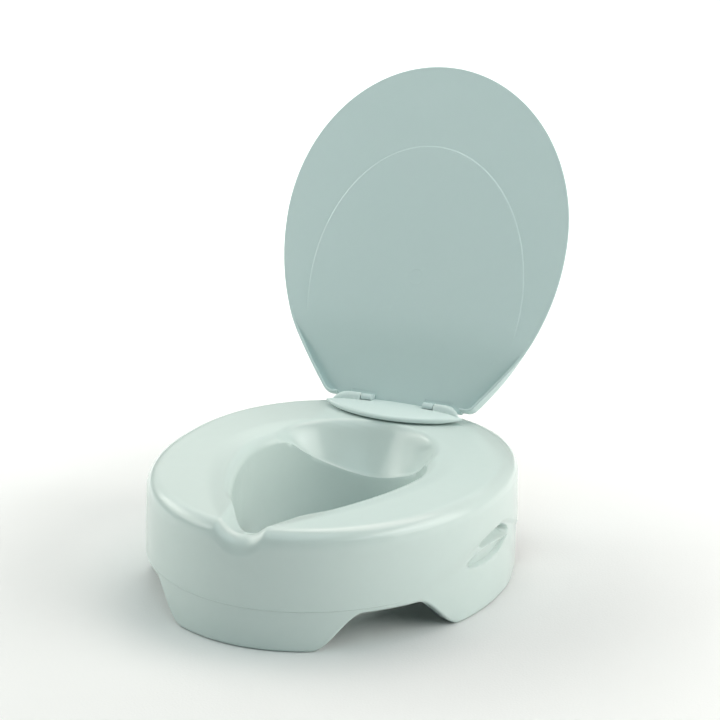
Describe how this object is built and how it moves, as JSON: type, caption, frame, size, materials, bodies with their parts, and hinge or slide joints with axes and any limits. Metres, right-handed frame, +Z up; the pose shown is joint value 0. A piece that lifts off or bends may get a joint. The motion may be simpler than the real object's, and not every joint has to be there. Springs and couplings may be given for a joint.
{
  "type": "raised toilet seat",
  "caption": "Moulded hollow seat that rests on a toilet bowl to raise it, with side finger recesses, a front hygiene notch and a hinged lid.",
  "frame": {"origin": "on the floor under the middle of the outer box, with the lid open", "axes": "+X towards the part's left side as its user sits, seen from the front on the right; -Y is the front, +Y the hinge; +Z up"},
  "size_m": [0.3798, 0.5373, 0.496],
  "materials": {
    "seat_plastic": "glossy blow-moulded off-white",
    "lid_plastic": "satin-gloss injection-moulded off-white",
    "bracket_plastic": "satin-gloss injection-moulded off-white",
    "pin_plastic": "natural nylon",
    "pad_rubber": "matt foam rubber",
    "screw_steel": "zinc-plated"
  },
  "bodies": {
    "base": {"seat_body": "seat_plastic", "blow_hole_plug": "seat_plastic", "pad_front_left": "pad_rubber", "pad_front_right": "pad_rubber", "pad_rear_left": "pad_rubber", "pad_rear_right": "pad_rubber", "hinge_bracket": "bracket_plastic", "bracket_screws": "screw_steel", "bracket_washers": "screw_steel", "hinge_pin_left": "pin_plastic", "hinge_pin_right": "pin_plastic"},
    "cover": {"lid": "lid_plastic"}
  },
  "joints": [
    {"name": "lid_hinge", "type": "hinge", "parent": "base", "child": "cover", "pos_m": [0, 0.13532, 0.1375], "axis": [1, 0, 0], "range_deg": [0, 111.5]}
  ]
}
